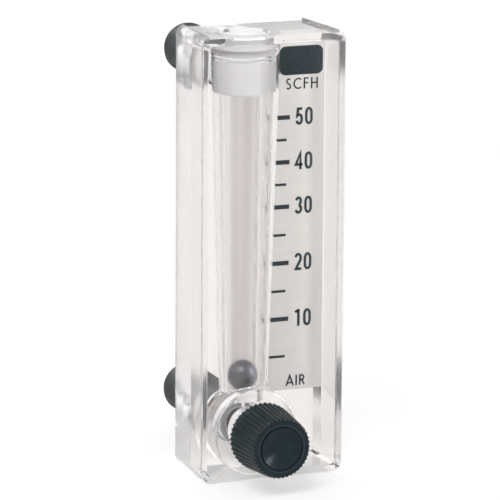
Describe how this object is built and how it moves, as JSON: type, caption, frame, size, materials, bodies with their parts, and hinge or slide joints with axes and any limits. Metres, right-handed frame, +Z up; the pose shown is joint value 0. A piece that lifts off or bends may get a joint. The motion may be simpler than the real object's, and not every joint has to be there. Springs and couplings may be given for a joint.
{
  "type": "gas flowmeter",
  "caption": "Panel-mount variable-area gas flowmeter: clear body with tapered tube and ball float, side scale, metering valve with fluted knob, rear threaded ports.",
  "frame": {"origin": "on the rear mounting face, midway between the axes of the two threaded ports", "axes": "+Z up along the tapered tube, +Y out of the rear mounting face, the knob faces -Y, +X towards the scale"},
  "size_m": [0.029, 0.0514, 0.086],
  "materials": {
    "clear_plastic": "moulded clear, polished",
    "plug_plastic": "moulded, slightly milky",
    "steel_ball": "polished stainless steel",
    "scale_metal": "fine brushed",
    "scale_ink": "printed ink",
    "badge_field": "printed field",
    "adhesive": "bonding film",
    "black_plastic": "satin moulded",
    "fitting_black": "satin, threaded",
    "brass": "turned",
    "spring_steel": "plain",
    "seal_rubber": "smooth",
    "seal_silicone": "smooth, translucent",
    "bushing_plastic": "natural, slightly milky"
  },
  "bodies": {
    "housing": {"body": "clear_plastic", "top_plug": "plug_plastic", "float_seat": "plug_plastic", "scale_adhesive": "adhesive", "scale_plate": "scale_metal", "scale_graduations": "scale_ink", "badge_plate": "badge_field", "valve_seat": "brass", "valve_bushing": "bushing_plastic", "inlet_fitting": "fitting_black", "outlet_fitting": "fitting_black", "inlet_o_ring": "seal_rubber", "outlet_o_ring": "seal_rubber", "plug_o_ring": "seal_silicone", "bushing_o_ring": "seal_rubber"},
    "float": {"float_ball": "steel_ball"},
    "valve_carriage": {"stem_o_ring": "seal_rubber"},
    "valve_screw": {"valve_stem": "brass", "stem_clip": "spring_steel", "control_knob": "black_plastic"}
  },
  "joints": [
    {"name": "float_rise", "type": "slide", "parent": "housing", "child": "float", "axis": [0, 0, 1], "range_m": [0, 0.0515]},
    {"name": "valve_travel", "type": "slide", "parent": "housing", "child": "valve_carriage", "axis": [0, -1, 0], "range_m": [0, 0.003]},
    {"name": "knob_turn", "type": "hinge", "parent": "valve_carriage", "child": "valve_screw", "pos_m": [0, -0.02, -0.0342], "axis": [0, -1, 0], "range_deg": [0, 1441]}
  ],
  "couplings": [
    {"joint": "knob_turn", "follows": "valve_travel", "rad_per_m": 8377.6}
  ]
}
